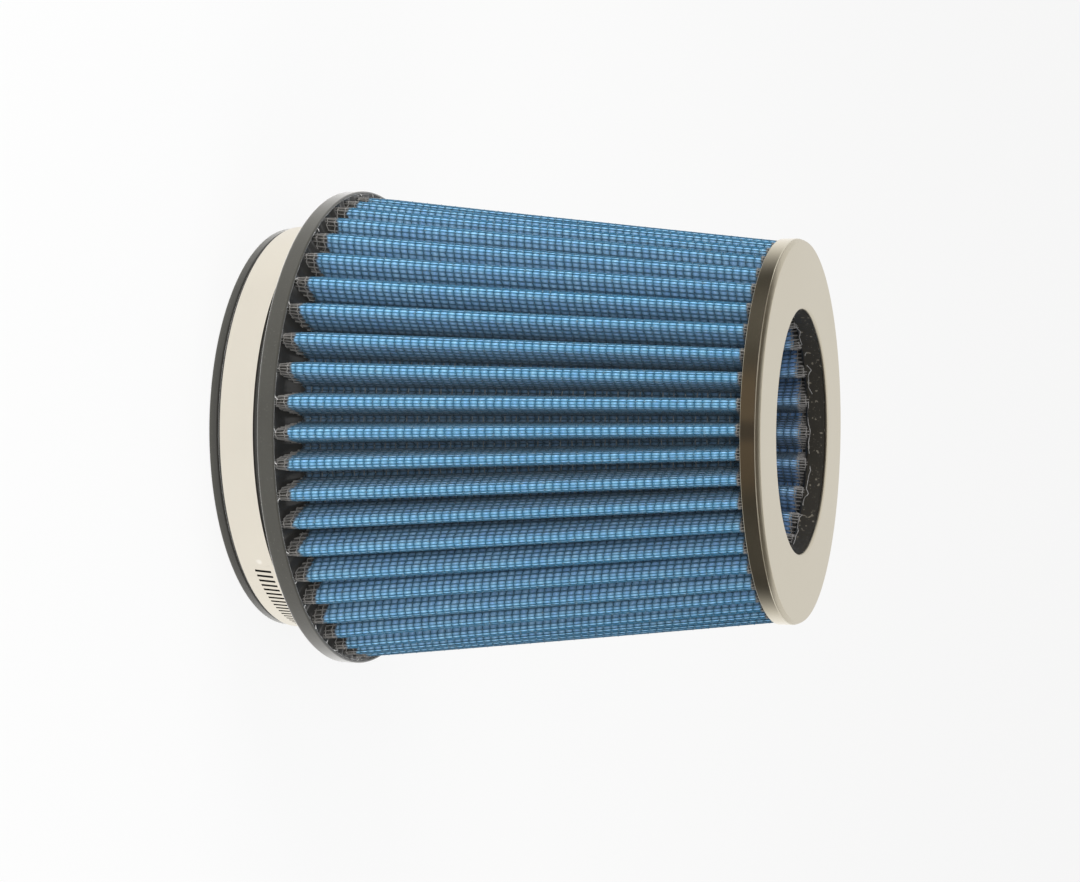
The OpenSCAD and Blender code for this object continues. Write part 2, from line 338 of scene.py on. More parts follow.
def pleat_point(cone, w, v, t):
    """Point of the cone in mm: w counts pleats round the axis, v runs from the low to the
    high end, t is the depth under the face. Low down the cast urethane has drawn each
    ridge in by the cone's pinch. Two sines swing the sheet."""
    w, v, t = np.broadcast_arrays(np.asarray(w, float), np.asarray(v, float), np.asarray(t, float))
    fold = np.floor(w)
    f = w - fold
    s = 1 - np.abs(2 * f - 1)
    pitch = 2 * math.pi / cone["count"]
    turn = 2 * math.pi * w / cone["count"]
    swell = 0.35 + 0.65 * np.sin(math.pi * np.clip(v, 0, 1))
    waves = np.sin(11 * turn + 0.7 + 2.1 * v) + np.sin(19 * turn + 4.0 - 1.7 * v)
    drawn = cone["pinch"] * np.clip(1 - v / PINCH_HEIGHT, 0, 1) ** 2 * (1 - s)
    ends = []
    for (ridge_at, z), lean in zip((cone["low"], cone["high"]), cone["lean"]):
        r, angle, path = pleat_section(cone, ridge_at, s, t)
        angle, r = angle * (1 - drawn), r - PINCH_DEPTH * drawn
        off = np.radians(np.interp(w % cone["count"], np.arange(cone["count"] + 1), lean))
        angle = pitch * fold + np.where(f > 0.5, pitch - angle, angle) + off
        r = r + SWING * swell * waves - INSIDE
        ends.append(np.stack([r * np.sin(angle), -r * np.cos(angle), np.full_like(r, z)], -1))
    return ends[0] + (ends[1] - ends[0]) * v[..., None]


for cone in (OUTER, INNER):
    (low_r, low_z), (high_r, high_z) = cone["low"], cone["high"]
    cone["path"] = [pleat_section(cone, r, np.zeros(1), np.zeros(1))[2] for r in (low_r, high_r)]
    cone["tall"] = high_z - low_z
    cone["slant"] = math.hypot(high_r - low_r, high_z - low_z)
    print("sheet per pleat, mm:", np.round(cone["path"], 2), "slant:", round(cone["slant"], 1))

# %% [markdown]
# The gauze is a stack of thin oiled cotton, pressed between the screens. It is
# one closed shell: its outer face goes up the cone and its inner face comes
# back down. Three attributes go with it, for the colour: how far a point is
# from either end of the cone, and how deep it lies in its fold.

# %% Gauze shells
# Rows near the flange stand closer, because the sheet is drawn in there.
NEAR_FLANGE = np.array([0.0, 0.012, 0.027, 0.045, 0.07])


def sheet_attributes(cone, w, v):
    """rise: mm from the low end. drop: mm from the high end. inset: 0 on a ridge and 1 in
    a valley, along the sheet."""
    w, v = np.broadcast_arrays(w, v)
    s = 1 - np.abs(2 * (w - np.floor(w)) - 1)
    made = {"rise": cone["tall"] * v, "drop": cone["tall"] * (1 - v), "inset": s}
    return {key: value.ravel() for key, value in made.items()}


# Depths of the gauze's two faces, in mm.
GAUZE_TOP, GAUZE_UNDER = 0.4, 1.6


def sheet_shell(name, cone, wires, hoops, up, across=24):
    """Closed shell of gauze, with across steps a pleat and up rows. Its map counts the
    screen's wires across and its hoops upwards."""
    columns = cone["count"] * across
    w = np.arange(columns) / across
    rise = np.concatenate([NEAR_FLANGE, np.linspace(0.12, 1, up - len(NEAR_FLANGE))])
    v = np.concatenate([rise, rise[::-1]])
    t = np.repeat([GAUZE_TOP, GAUZE_UNDER], up)
    points = pleat_point(cone, w[None, :], v[:, None], t[:, None]).reshape(-1, 3)
    faces = grid_faces(2 * up, columns, True, True)
    u0, v0 = np.broadcast_arrays(w[None, :] * wires, v[:, None] * hoops)
    u1, v1 = u0 + wires / across, np.roll(v0, -1, 0)
    corners = (u0, v0), (u1, v0), (u1, v1), (u0, v1)
    uv = np.stack([np.stack(pair, -1) for pair in corners], 2).reshape(-1, 4, 2)
    made = sheet_attributes(cone, w[None, :], v[:, None])
    return new_piece(name, points, faces, "filter", made, uv, sharp=60)


# The screens' wires a pleat and hoops a cone.
OUTER_WIRES, OUTER_HOOPS = 15, 57
INNER_WIRES, INNER_HOOPS = 14, 36
outer_gauze = sheet_shell("gauze_outer", OUTER, OUTER_WIRES, OUTER_HOOPS, up=20)
cone_gauze = sheet_shell("gauze_cone", INNER, INNER_WIRES, INNER_HOOPS, up=16)

# %% [markdown]
# The gauze is dyed by its oil: bright blue on the ridges and slate in the
# folds. The slate of the folds is partly oil gathered there and partly painted
# shade. Next to the flange the urethane has soaked into it, so its ends are
# nearly black. The threads are a fine plain weave in the sheet's own map, and
# each mesh of the screen presses the cotton into a pad. Under the wires the
# cotton is painted darker, darkest where two wires cross, as their painted shadow.

# %% Gauze finish
def soaked(finish, at_low, climb, at_high):
    """1 where urethane has soaked the sheet: up to at_low mm from the flange and climb mm
    more in the folds, and down to at_high mm from the other end."""
    rise, drop, inset = (finish.attribute(key) for key in ("rise", "drop", "inset"))
    ragged = finish.noise(420.0, 3.0, 0.6) - 0.5
    fold = inset.ease(0.3, 0.9)
    edge = rise - fold * climb - ragged * 3.6
    low = 1 - edge.ease(at_low - 0.7, at_low + 0.7)
    high = 1 - (drop - ragged * 1.5 - fold * 0.6).ease(at_high - 0.5, at_high + 0.5)
    return finish.node("Math", {"operation": "MAXIMUM"}, {0: low, 1: high})


def folded(finish, tip, wall, valley):
    """Colour that deepens from the ridge's tip down the wall into the valley: partly
    oil and dust gathered there, and partly painted shade in the fold."""
    inset = finish.attribute("inset")
    side = finish.mix(inset.ease(0.0, 0.44), tip, wall)
    return finish.mix(inset.ease(0.44, 0.92), side, valley)


def tinted(colours, tint):
    """Each colour times a tint, channel by channel."""
    return [tuple(c * k for c, k in zip(colour, tint)) for colour in colours]


# The second tint darkens the threads and tufts, and the cotton under the wires as their painted
# shadow. The knot colour is painted shade where two wires cross.
THIN_OIL, OIL_AND_SHADE = (0.62, 0.70, 0.95), (0.20, 0.36, 0.42)
KNOT_SHADE = (0.010, 0.030, 0.048)
SOAKED_DARK, SOAKED_PALE = (0.032, 0.031, 0.028), (0.13, 0.124, 0.113)
THREADS_ACROSS, THREADS_ALONG = 5, 9


def gauze_finish(name, at_low, climb, at_high, tip, wall, valley):
    """Oiled cotton. pad is 1 in the middle of a mesh and 0 under its wires, knot is 1 where
    two wires cross, thread is a product of sines, and tufts are noise. The cotton is painted
    darker under the wires and at the knots, as the wires' painted shadow."""
    finish = Finish(name, Roughness=0.62, Specular_IOR_Level=0.3,
                    Sheen_Weight=0.26, Sheen_Roughness=0.5)
    u, v, _ = finish.axes(finish.weave())
    across, along = (((c + 0.5) * math.pi).sine().size() for c in (u, v))
    pad = across ** 0.8 * along ** 2.2
    knot = (1 - across) * (1 - along)
    thread = (u * (math.pi * THREADS_ACROSS)).sine() * (v * (math.pi * THREADS_ALONG)).sine()
    patches = finish.noise(70.0, 3.0, 0.6).ease(0.3, 0.7)
    spots = finish.noise(380.0, 1.0).ease(0.35, 0.65)
    tufts = finish.noise(1250.0, 2.0, 0.65).ease(0.34, 0.66)
    full = folded(finish, tip, wall, valley)
    thin = folded(finish, *tinted((tip, wall, valley), THIN_OIL))
    deep = folded(finish, *tinted((tip, wall, valley), OIL_AND_SHADE))
    blue = finish.mix(patches * 0.35 + spots * 0.45, full, thin)
    # The last share is the wires' painted shadow, and the knot colour after it is painted shade.
    for share in ((thread * 0.5 + 0.5) * 0.20, tufts * 0.42, (1 - pad) * 0.76):
        blue = finish.mix(share, blue, deep)
    blue = finish.mix(knot.ease(0.10, 0.45) * 0.85, blue, KNOT_SHADE)
    grey = finish.noise(900.0).ease(0.45, 0.75)
    dark = finish.mix(grey, SOAKED_DARK, SOAKED_PALE)
    colour = finish.mix(soaked(finish, at_low, climb, at_high), blue, dark)
    relief = pad ** 0.5 + thread * 0.12 - tufts * 0.3
    return finish.set({"Base Color": colour, "Normal": finish.bump(relief, 0.6, 0.0003)})


outer_gauze_finish = gauze_finish(
    "oiled_gauze", at_low=5.6, climb=2.2, at_high=1.7,
    tip=(0.40, 0.74, 1.0), wall=(0.43, 0.66, 0.90), valley=(0.155, 0.24, 0.335))
finish_piece(outer_gauze, outer_gauze_finish, "gauze", "outer_gauze")
cone_gauze_finish = gauze_finish(
    "oiled_gauze_cone", at_low=1.5, climb=2.0, at_high=3.8,
    tip=(0.50, 0.74, 1.0), wall=(0.30, 0.46, 0.74), valley=(0.16, 0.25, 0.42))
finish_piece(cone_gauze, cone_gauze_finish, "gauze", "cone_gauze")

# %% [markdown]
# A bump map can't give the screen its sparkle and its shadow on the gauze, so
# its wires are real. The long wires run straight up the cone, and the hoops
# are woven over and under them. Both are tubes in the sheet's own parameters:
# a step sideways is a small change of w or v, and a step out is one of t.

# %% Woven wire screens
# In mm: the wire's radius, how far a hoop swings out and in as it is woven, and how deep
# the middle of a screen lies, over the gauze and behind it.
WIRE_R, WOVEN = 0.22, 0.16
OVER_GAUZE, BEHIND_GAUZE = 0.18, 1.80


def long_wires(cone, wires, middle, rings):
    """Four sided tubes, capped: w = (k + 0.5)/wires + r cos(q)/path, t = middle - r sin(q)."""
    count = cone["count"] * wires
    v = np.concatenate([NEAR_FLANGE, np.linspace(0.38, 1, rings - len(NEAR_FLANGE))])
    path = cone["path"][0] + (cone["path"][1] - cone["path"][0]) * v
    q = np.arange(4) * math.pi / 2 + math.pi / 4
    w = ((np.arange(count) + 0.5) / wires)[:, None, None] + WIRE_R * np.cos(q) / path[:, None]
    t = middle - WIRE_R * np.sin(q)[None, None, :] + 0 * w
    v3 = v[None, :, None] + 0 * w
    points = pleat_point(cone, w, v3, t).reshape(-1, 3)
    tube = grid_faces(rings, 4, False, True)
    caps = np.array([[3, 2, 1, 0], [0, 1, 2, 3]]) + np.array([[0], [4 * (rings - 1)]])
    faces = copies(np.concatenate([tube, caps]), count, 4 * rings)
    return points, faces, sheet_attributes(cone, w, v3)


def hoop_wires(cone, wires, hoops, first, step, middle):
    """Three sided closed tubes: v = (k + 0.5)/hoops + (shift + r cos(q))/slant and
    t = middle +- WOVEN - r sin(q). The small shifts are where folding has pushed a wire
    along at its crossings."""
    rows = np.arange(first, hoops, step)
    around = cone["count"] * wires
    column = np.arange(around)
    q = np.arange(3) * 2 * math.pi / 3 + math.pi / 2
    over = np.where((rows[:, None] + column[None, :]) % 2 == 0, -WOVEN, WOVEN)
    w = ((column + 0.5) / wires)[None, :, None] + np.zeros((len(rows), 1, 3))
    chance = np.random.default_rng(first + around)
    shift = chance.normal(0.0, 0.13, (len(rows), around)) + 1.2 * over
    v = (shift[:, :, None] + WIRE_R * np.cos(q)) / cone["slant"]
    v = v + ((rows + 0.5) / hoops)[:, None, None]
    t = middle + over[:, :, None] - WIRE_R * np.sin(q)[None, None, :]
    points = pleat_point(cone, w, v, t).reshape(-1, 3)
    faces = copies(grid_faces(around, 3, True, True), len(rows), around * 3)
    return points, faces, sheet_attributes(cone, w, v)


def join(parts):
    """Several (points, faces, attributes) as one."""
    points, faces, made = zip(*parts)
    offsets = np.cumsum([0] + [len(p) for p in points[:-1]])
    faces = np.concatenate([f + o for f, o in zip(faces, offsets)])
    made = {key: np.concatenate([values[key] for values in made]) for key in made[0]}
    return np.concatenate(points), faces, made


def screen(name, cone, wires, hoops, middle, parts=1):
    """A woven screen whose hoops are dealt out to several pieces, so that none is too
    heavy. The first has the long wires too."""
    pieces = []
    for k in range(parts):
        made = [hoop_wires(cone, wires, hoops, k, parts, middle)]
        if k == 0:
            made.append(long_wires(cone, wires, middle, rings=8))
        points, faces, attributes = join(made)
        piece = new_piece(f"{name}_{k + 1}", points, faces, "filter", attributes, sharp=80)
        pieces.append(piece)
    return pieces


outer_screens = screen("screen_outer", OUTER, OUTER_WIRES, OUTER_HOOPS, OVER_GAUZE, parts=2)
cone_screens = screen("screen_cone", INNER, INNER_WIRES, INNER_HOOPS, OVER_GAUZE)
outer_backings = screen("backing_outer", OUTER, wires=10, hoops=42, middle=BEHIND_GAUZE)
cone_backings = screen("backing_cone", INNER, wires=10, hoops=28, middle=BEHIND_GAUZE)

# %% [markdown]
# The wire has a smooth clear coat. Oil tints it teal over the blue gauze, and
# it shows its own light grey where the urethane has wiped the oil away.

# %% Wire finish
RUBBED = (0.30, 0.42, 0.46)


def wire_finish(name, at_low, climb, at_high, tip, wall, valley, bare):
    """Coated wire under oil. Noise darkens some crossings and rubs others pale on the
    ridges, and where the urethane has been it is bare. Down the walls into the valleys it
    is painted darker, as shade in the folds."""
    finish = Finish(name, Roughness=0.35, Specular_IOR_Level=0.3, Coat_Weight=0.1,
                    Coat_Roughness=0.15, Sheen_Weight=0.08, Sheen_Roughness=0.5)
    tone = finish.noise(1100.0, 2.0)
    full = folded(finish, tip, wall, valley)
    dark = folded(finish, *tinted((tip, wall, valley), (0.4, 0.4, 0.4)))
    oiled = finish.mix(tone.ease(0.35, 0.65) * 0.6, full, dark)
    rubbed = tone.ease(0.60, 0.70) * (1 - finish.attribute("inset").ease(0.2, 0.7)) * 0.5
    worn = finish.mix(rubbed, oiled, RUBBED)
    colour = finish.mix(soaked(finish, at_low, climb, at_high), worn, bare)
    return finish.set({"Base Color": colour})


outer_wire_finish = wire_finish(
    "coated_wire", at_low=5.4, climb=1.0, at_high=1.7, tip=(0.045, 0.180, 0.30),
    wall=(0.068, 0.152, 0.225), valley=(0.042, 0.075, 0.102), bare=(0.22, 0.212, 0.20))
cone_wire_finish = wire_finish(
    "coated_wire_cone", at_low=1.5, climb=1.0, at_high=5.0, tip=(0.08, 0.16, 0.26),
    wall=(0.07, 0.12, 0.17), valley=(0.05, 0.08, 0.11), bare=(0.27, 0.26, 0.25))
backing_finish = wire_finish(
    "backing_wire", at_low=3.0, climb=0.0, at_high=1.0, tip=(0.16, 0.20, 0.23),
    wall=(0.16, 0.19, 0.20), valley=(0.15, 0.17, 0.18), bare=(0.30, 0.29, 0.27))
for pieces, material, slot, node in (
        (outer_screens, outer_wire_finish, "coated_wire", "outer_screen"),
        (cone_screens, cone_wire_finish, "coated_wire", "cone_screen"),
        (outer_backings, backing_finish, "wire", "outer_backing"),
        (cone_backings, backing_finish, "wire", "cone_backing")):
    for piece in pieces:
        finish_piece(piece, material, slot, node)

# %% [markdown]
# The flange and neck are one urethane casting. It is turned from a profile,
# as a lathe would: each profile point is carried round the axis. Cast
# urethane climbs into the folds before it sets, so the seat rises towards
# the axis between the pleats, and the thin rim outside them waves a little.

# %% Turned urethane pieces
def arc(centre, r, start, stop, steps):
    """Points at centre + r (cos a, sin a), with a in degrees."""
    a = np.radians(np.linspace(start, stop, steps + 1))
    return np.stack([centre[0] + r * np.cos(a), centre[1] + r * np.sin(a)], -1)


def rounded(corners, radius, steps):
    """A closed profile whose corners are cut by quadratic curves that start and stop
    radius mm from each."""
    p = np.array(corners, float)
    before, after = np.roll(p, 1, 0) - p, np.roll(p, -1, 0) - p
    lb, la = np.linalg.norm(before, axis=1), np.linalg.norm(after, axis=1)
    start, stop = p + before * (radius / lb)[:, None], p + after * (radius / la)[:, None]
    s = np.linspace(0, 1, steps + 1)[None, :, None]
    curve = (1 - s) ** 2 * start[:, None] + 2 * s * (1 - s) * p[:, None] + s ** 2 * stop[:, None]
    return curve.reshape(-1, 2)


HELD = 0.06


def held(profile):
    """Adds a point HELD mm from both ends of each long stretch, so that flats shade flat
    and corners stay narrow."""
    after = np.roll(profile, -1, 0)
    length = np.linalg.norm(after - profile, axis=1)
    long = (length > 8 * HELD) & ((profile[:, 0] > 0) | (after[:, 0] > 0))
    step = (after - profile) * np.where(long, HELD / length, 0.0)[:, None]
    stations = np.stack([profile, profile + step, after - step], 1)
    keep = np.stack([np.ones_like(long), long, long], 1)
    return stations[keep]


def lathe(name, profile, around, wave=None, attributes=None, sharp=50):
    """Points (r sin a, -r cos a, z) for a profile of (r, z). wave(a, r, z) adds (dr, dz).
    A profile that starts and stops on the axis is closed by two poles."""
    profile = held(profile)
    a = np.arange(around) * 2 * math.pi / around
    r = profile[None, :, 0] + 0 * a[:, None]
    z = profile[None, :, 1] + 0 * a[:, None]
    turn = a[:, None] + 0 * r
    if wave:
        dr, dz = wave(turn, r, z)
        r, z = r + dr, z + dz
    points = np.stack([r * np.sin(turn), -r * np.cos(turn), z], -1).reshape(-1, 3)
    poles = bool(profile[0, 0] == 0 and profile[-1, 0] == 0)
    faces = grid_faces(around, len(profile), True, not poles)
    made = {key: (value(profile[:, 0], profile[:, 1])[None, :] + 0 * a[:, None]).ravel()
            for key, value in (attributes or {}).items()}
    return new_piece(name, points, faces, "filter", made, sharp=sharp, poles=poles)


# In mm: radii of the bore, the neck and the flange, heights of the neck and the flange's
# rim, and the radii between which urethane has climbed into the folds.
BORE_R, NECK_R, FLANGE_R = 69.85, 75.4, 88.9
NECK_TOP, FLANGE_TOP = 24.5, 31.0
FILL_OUT, FILL_IN = 87.6, 75.2
FINE, MEDIUM, COARSE = 384, 288, 192


def fill_height(r):
    """Height of the cast urethane between the pleats: it climbs by a power of the way in
    from the rim towards the folds."""
    return 29.9 + 7.0 * np.clip((87.5 - r) / 11.5, 0, 1) ** 2.2


def base_profile():
    """Bore, foot, groove under the band, side of the neck, flange, rim, fill and bore."""
    groove = [[NECK_R, 3.05], [75.25, 3.2], [74.85, 3.45],
              [74.85, 3.55], [75.25, 3.8], [NECK_R, 3.95]]
    seat_r = np.linspace(FILL_OUT, FILL_IN, 14)
    return np.concatenate([
        [[BORE_R, 0.25], [BORE_R + 0.25, 0.0]],
        arc((NECK_R - 0.8, 0.8), 0.8, -90, 0, 5),
        groove,
        [[NECK_R, NECK_TOP - 0.5], [NECK_R + 0.15, NECK_TOP - 0.12], [NECK_R + 0.55, NECK_TOP]],
        arc((FLANGE_R - 1.2, NECK_TOP + 1.2), 1.2, -90, 0, 6),
        arc((FLANGE_R - 0.55, FLANGE_TOP - 0.55), 0.55, 0, 180, 8),
        [[FILL_OUT + 0.1, 30.1]],
        np.stack([seat_r, fill_height(seat_r)], -1),
        [[74.6, 34.0], [74.5, FLANGE_TOP + 0.4], [74.1, FLANGE_TOP]],
        [[BORE_R + 0.35, FLANGE_TOP], [BORE_R, FLANGE_TOP - 0.3]],
    ])


def rim_wave(turn, r, z):
    """The rim's inner edge waves in and out, and the fill up and down, by a sum of sines."""
    edge = np.exp(-((r - 87.75) / 0.25) ** 2) * (z > 29.95)
    fill = (z > 29.8) & (r < 87.55) & (r > 74.55)
    ripple = (np.sin(48 * turn) * 0.3 + np.sin(31 * turn + 1.0)
              + np.sin(67 * turn + 2.0) * 0.7 + np.sin(113 * turn))
    return 0.09 * edge * ripple, np.where(fill, 0.25 * ripple, 0.0)


def on_fill(r, z):
    """1 on the urethane between the rim and the top of the bore's wall."""
    return ((z > 29.7) & (r < 87.72) & (r > 74.3)).astype(float)


def on_neck_shade(r, z):
    """1 on the neck's side and under the flange, which are painted darker as shade."""
    return ((z > 2.9) & (z < 24.7) & (r < 88.2) & (r > 71)).astype(float)


def stretch(r1, r2, z, rise, steps):
    """Points from radius r1 to r2 whose height is z plus rise of the way along."""
    way = np.linspace(0, 1, steps)
    return np.stack([np.linspace(r1, r2, steps), z + rise(way)], -1)


top_profile = np.concatenate([
    rounded([(44.2, 196.6), (67.3, 196.6), (67.8, 196.4)], radius=0.1, steps=2),
    [[67.8, 191.6], [67.6, 191.2]],
    stretch(67.2, 56.0, 191.0, lambda way: -2.2 * way ** 1.5, 8),
    [[54.0, 188.4], [50.0, 188.2]],
    stretch(49.0, 44.6, 188.4, lambda way: 1.4 * way ** 1.5, 6),
    [[44.25, 190.2]],
])
plug_profile = np.concatenate([
    [[0.0, 81.2]],
    arc((40.4, 82.4), 1.2, -90, 0, 5),
    [[41.6, 90.4], [41.3, 90.7], [40.7, 90.7], [40.4, 90.2]],
    stretch(40.0, 30.0, 90.2, lambda way: 1.6 * np.sin(math.pi * way), 10),
    [[29.6, 90.7], [28.6, 90.9], [20.0, 90.7], [0.0, 90.7]],
])
marks = {"fill": on_fill, "neck_shade": on_neck_shade}
base = lathe("urethane_base", base_profile(), FINE, rim_wave, marks)
moulding = lathe("urethane_top", top_profile, MEDIUM)
plug = lathe("urethane_plug", plug_profile, COARSE)

# %% [markdown]
# Cured urethane is a dark warm grey with a soft sheen. Its skin has a fine
# tooth and tiny pale specks where the mould release stuck. The parts that ran
# between the pleats are blacker, partly because they never touched the mould
# and partly as painted shade in that recess. The neck and the underside of the
# flange are painted darker too, as shade under the flange.

# %% Urethane finish
def urethane_finish(name, skin, deep, rough, gloss, bloom, flecks):
    """Skin clouded by slow noise, with specks and coarser flecks of mould release. The neck
    and the underside of the flange go partly towards the deep colour, as painted shade, and
    the fill between the pleats goes all the way, partly as blacker urethane and partly as
    painted shade."""
    finish = Finish(name, Specular_IOR_Level=0.4, Coat_Weight=gloss, Coat_Roughness=0.2,
                    Sheen_Weight=bloom, Sheen_Roughness=0.3)
    cloud = finish.noise(30.0, 4.0, 0.6)
    tooth = finish.noise(1500.0, 2.0)
    specks = finish.noise(1900.0, 0.0).ease(0.74, 0.80)
    specks = specks + finish.noise(620.0, 1.0).ease(0.66, 0.72) * flecks
    colour = finish.mix(cloud.ease(0.3, 0.7), skin, [c * 1.18 for c in skin])
    colour = finish.mix(specks * 0.5, colour, [c * (2.6 + flecks) for c in skin])
    colour = finish.mix(finish.attribute("neck_shade") * 0.75, colour, deep)
    colour = finish.mix(finish.attribute("fill"), colour, deep)
    return finish.set({"Base Color": colour, "Roughness": rough + tooth * 0.15,
                       "Normal": finish.bump(tooth + cloud, 0.25, 0.0002)})


skin_finish = urethane_finish(
    "urethane_skin", skin=(0.036, 0.035, 0.029), deep=(0.017, 0.0165, 0.015),
    rough=0.62, gloss=0.8, bloom=1.0, flecks=0.0)
finish_piece(base, skin_finish, "urethane", "base")
black_finish = urethane_finish(
    "urethane_black", skin=(0.026, 0.0235, 0.019), deep=(0.018, 0.017, 0.016),
    rough=0.38, gloss=0.2, bloom=0.0, flecks=3.0)
finish_piece(moulding, black_finish, "urethane_black", "top_moulding")
finish_piece(plug, black_finish, "urethane_black", "cone_plug")

# %% [markdown]
# The trim ring is pressed from thin sheet metal: a polished side, a fine
# groove, a barrelled shoulder and a satin face with an open middle.

# %% Trim ring
# In mm: radii of the ring and its hole, its lowest and highest points, and the height
# over which it is satin.
RING_R, HOLE_R = 69.0, 43.8
RING_LOW, RING_TOP = 190.8, 197.8
SATIN_FROM = 196.1
side = [[67.8, RING_LOW + 0.15], [67.95, RING_LOW], [68.85, RING_LOW], [RING_R, RING_LOW + 0.15]]
groove = [[RING_R, 195.75], [68.97, 195.88], [68.86, 195.98], [68.80, 196.06]]
ring_profile = np.concatenate([
    side,
    groove,
    arc((65.378, 195.412), 3.55, 12, 38, 8),
    arc((67.776, RING_TOP - 0.5), 0.5, 38, 90, 5),
    [[60.0, RING_TOP], [52.0, RING_TOP]],
    arc((HOLE_R + 1.0, RING_TOP - 1.0), 1.0, 90, 180, 8),
    [[HOLE_R, 196.75], [HOLE_R + 0.15, 196.6]],
    [[67.3, 196.6], [67.8, 196.3]],
])


def on_face(r, z):
    """1 on the satin face and shoulder."""
    return (z > SATIN_FROM).astype(float)


ring = lathe("trim_ring", ring_profile, FINE, attributes={"face": on_face}, sharp=70)


def ring_finish():
    """Polished side and satin face, with fine turning lines: noise along the radius."""
    finish = Finish("satin_ring", Base_Color=(0.585, 0.535, 0.425, 1.0), Metallic=1.0)
    x, y, z = finish.axes(finish.place())
    radius = (x * x + y * y) ** 0.5
    lines = finish.node("CombineXYZ", {}, {0: radius * 5200.0, 1: 0.0, 2: 0.0})
    lines = finish.noise(1.0, 2.0, at=lines)
    face = finish.attribute("face")
    broad = finish.noise(14.0, 2.0)
    return finish.set({"Roughness": face * 0.27 + 0.09 + broad * 0.05,
                       "Normal": finish.bump(lines * face, 0.12, 0.00008)})


finish_piece(ring, ring_finish(), "polished_ring", "top_ring")

# %% [markdown]
# The clamp's band, housing and screw have their true shapes in the CAD model.
# Each is copied, its loose triangles are merged, and a narrow bevel rounds
# its edges so that they catch the light as deburred steel does. The model's
# slots are made a little wider and shorter, as the real band's are.

# %% Clamp pieces
# In mm: the band's outer radius, the pitch, middle and heights of its slots. In degrees:
# the first slot's direction, the step between slots, and the turn of a slot for each mm up.
BAND_R, SLOT_PITCH, SLOT_Z = 76.05, 2.65, 12.05
SLOTS_LOW, SLOTS_HIGH = 8.0, 16.2
FIRST_SLOT, SLOT_STEP = 43.3, math.degrees(SLOT_PITCH / BAND_R)
SLANT = math.degrees(math.tan(math.radians(6.6)) / BAND_R)
WIDER, SHORTER, RAISED = 1.4, 0.87, 0.45


def open_slots(work):
    """Opens the band's slots: a corner's angle from its slot's middle line grows, and its
    height from the slot's middle shrinks."""
    for corner in work.verts:
        x, y, z = (c / MM for c in corner.co)
        if not SLOTS_LOW < z < SLOTS_HIGH:
            continue
        turn, r = math.degrees(math.atan2(x, -y)) % 360, math.hypot(x, y)
        across = turn - SLANT * (z - SLOT_Z) - FIRST_SLOT
        offset = across - SLOT_STEP * round(across / SLOT_STEP)
        z2 = SLOT_Z + RAISED + (z - SLOT_Z) * SHORTER
        a = math.radians(turn + offset * (WIDER - 1) + SLANT * (z2 - z))
        corner.co = (r * math.sin(a) * MM, -r * math.cos(a) * MM, z2 * MM)


# The CAD's points lie further apart than CAD_WELD metres, and its flats turn by less than
# FLAT degrees. Edges of more than CREASE degrees are bevelled.
CAD_WELD, FLAT, CREASE = 1e-6, 0.2, 30


def from_cad(name, node, body, bevel, change=None):
    """A merged copy of a CAD node whose edges have a bevel as wide as bevel, in mm."""
    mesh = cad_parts[node].data.copy()
    mesh.name = name
    piece = add_object(name, mesh)
    work = bmesh.new()
    work.from_mesh(mesh)
    bmesh.ops.remove_doubles(work, verts=work.verts, dist=CAD_WELD)
    bmesh.ops.dissolve_limit(
        work, angle_limit=math.radians(FLAT), verts=work.verts, edges=work.edges)
    if change:
        change(work)
    work.to_mesh(mesh)
    work.free()
    mesh.shade_smooth()
    mesh.set_sharp_from_angle(angle=math.radians(CREASE))
    edge = piece.modifiers.new("edge", "BEVEL")
    edge.width, edge.segments = bevel * MM, 2
    edge.limit_method, edge.angle_limit = "ANGLE", math.radians(CREASE)
    edge.use_clamp_overlap = True
    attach(piece, body)
    print(f"{name}: {len(mesh.polygons)} faces before its bevel")
    return piece


# A small pressed dimple before the first slot, in metres. Round it the steel is painted paler, as
# a highlight.
DIMPLE = (0.0487, -0.0584, 0.01228)
# The first colour is painted shade in the slots' walls, and the second a painted highlight round
# the dimple.
SLOT_SHADE, DIMPLE_HIGHLIGHT = (0.015, 0.014, 0.012), (0.93, 0.90, 0.84)


def steel_finish(name, colour, rough, brushed, slots=False):
    """Bright steel with brush lines round the band: noise stretched along the turn.
    In the slots, below the band's face, the cut steel is dull, and painted near black as
    shade in the slot."""
    finish = Finish(name, Base_Color=(*colour, 1.0), Metallic=1.0)
    x, y, z = finish.axes(finish.place())
    turn = finish.node("Math", {"operation": "ARCTAN2"}, {0: y, 1: x})
    lines = finish.node("CombineXYZ", {}, {0: turn * 9.0, 1: z * 7000.0, 2: 0.0})
    lines = finish.noise(1.0, 3.0, at=lines)
    smudge = finish.noise(60.0, 3.0)
    height = lines * brushed
    if slots:
        radius = (x * x + y * y) ** 0.5
        face = BAND_R * MM
        below = 1 - radius.ease(face - 0.00006, face - 0.00002)
        within = z.ease(0.0062, 0.0066) * (1 - z.ease(0.0160, 0.0164))
        # The dull steel in the slots is also painted near black, as shade.
        shaded_sheared = below * within
        far = finish.node("VectorMath", {"operation": "DISTANCE"},
                          {0: finish.place(), 1: DIMPLE}, out=1)
        # Round the dimple the steel is painted paler, as a highlight.
        steel = finish.mix(1 - far.ease(0.0005, 0.0016), colour, DIMPLE_HIGHLIGHT)
        finish.set({"Base Color": finish.mix(shaded_sheared, steel, SLOT_SHADE), "Metallic": 1 - shaded_sheared})
        height = height + far.ease(0.0002, 0.0013) * 2.0
    return finish.set({"Roughness": rough + smudge * 0.12,
                       "Normal": finish.bump(height, 1.0, 0.00006)})


